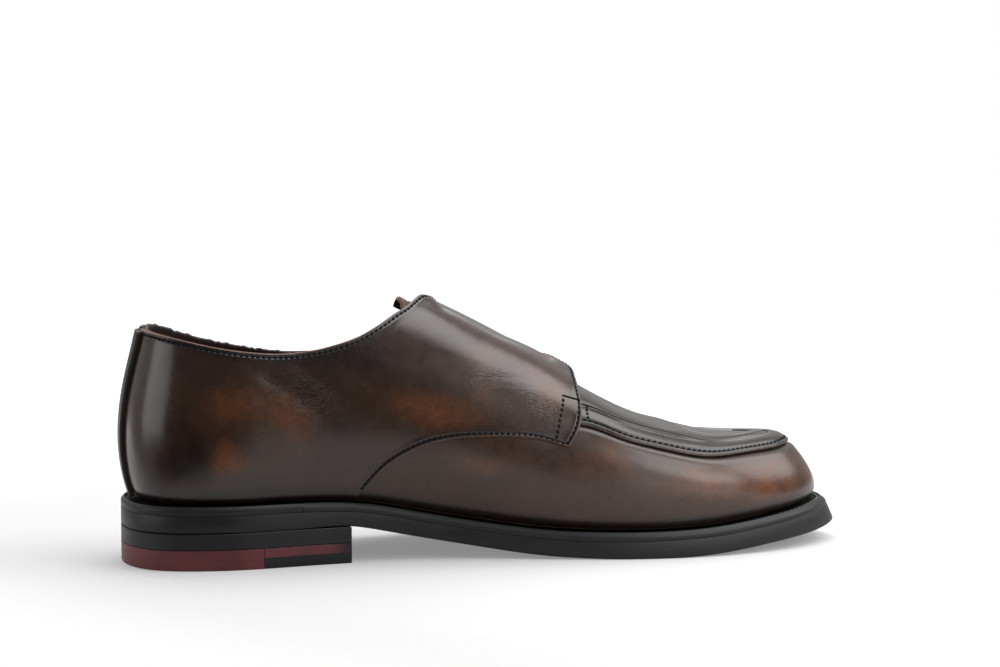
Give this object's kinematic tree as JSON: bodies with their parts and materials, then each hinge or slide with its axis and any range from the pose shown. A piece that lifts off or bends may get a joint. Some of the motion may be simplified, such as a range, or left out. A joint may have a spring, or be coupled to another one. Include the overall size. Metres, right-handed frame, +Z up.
{
  "type": "monk strap shoe",
  "caption": "Left apron-toe leather shoe with a wide instep strap fastened by a side buckle, on a welted rubber sole with a low stacked heel.",
  "frame": {"origin": "centre of the bounding box in plan, on the floor that the sole stands on", "axes": "+X from heel to toe, +Y towards the outer (lateral) side, +Z up"},
  "size_m": [0.3095, 0.1036, 0.1095],
  "materials": {
    "vamp_leather": "burnished dark brown calf, semi-gloss",
    "quarter_leather": "burnished dark brown calf with cognac patches, semi-gloss",
    "apron_leather": "burnished near-black brown calf, semi-gloss",
    "stay_leather": "near-black brown calf, semi-gloss",
    "tongue_leather": "brown leather, matt",
    "insole_leather": "tan sock leather, matt",
    "sole_rubber": "black rubber, satin",
    "welt_rubber": "black rubber welt, satin",
    "heel_rubber": "black rubber heel block, satin",
    "lift_rubber": "burgundy rubber, satin",
    "insert_rubber": "black rubber, matt",
    "buckle_metal": "brushed antique brass"
  },
  "bodies": {
    "root": {"upper": "vamp_leather", "quarter_medial": "quarter_leather", "quarter_lateral": "quarter_leather", "apron_band": "apron_leather", "backstay": "stay_leather", "tongue": "tongue_leather", "insole": "insole_leather", "outsole": "sole_rubber", "welt": "welt_rubber", "heel_rand": "welt_rubber", "heel_base": "heel_rubber", "top_lift": "lift_rubber", "top_lift_insert": "insert_rubber", "buckle_frame": "buckle_metal", "buckle_prong": "buckle_metal"}
  },
  "joints": []
}
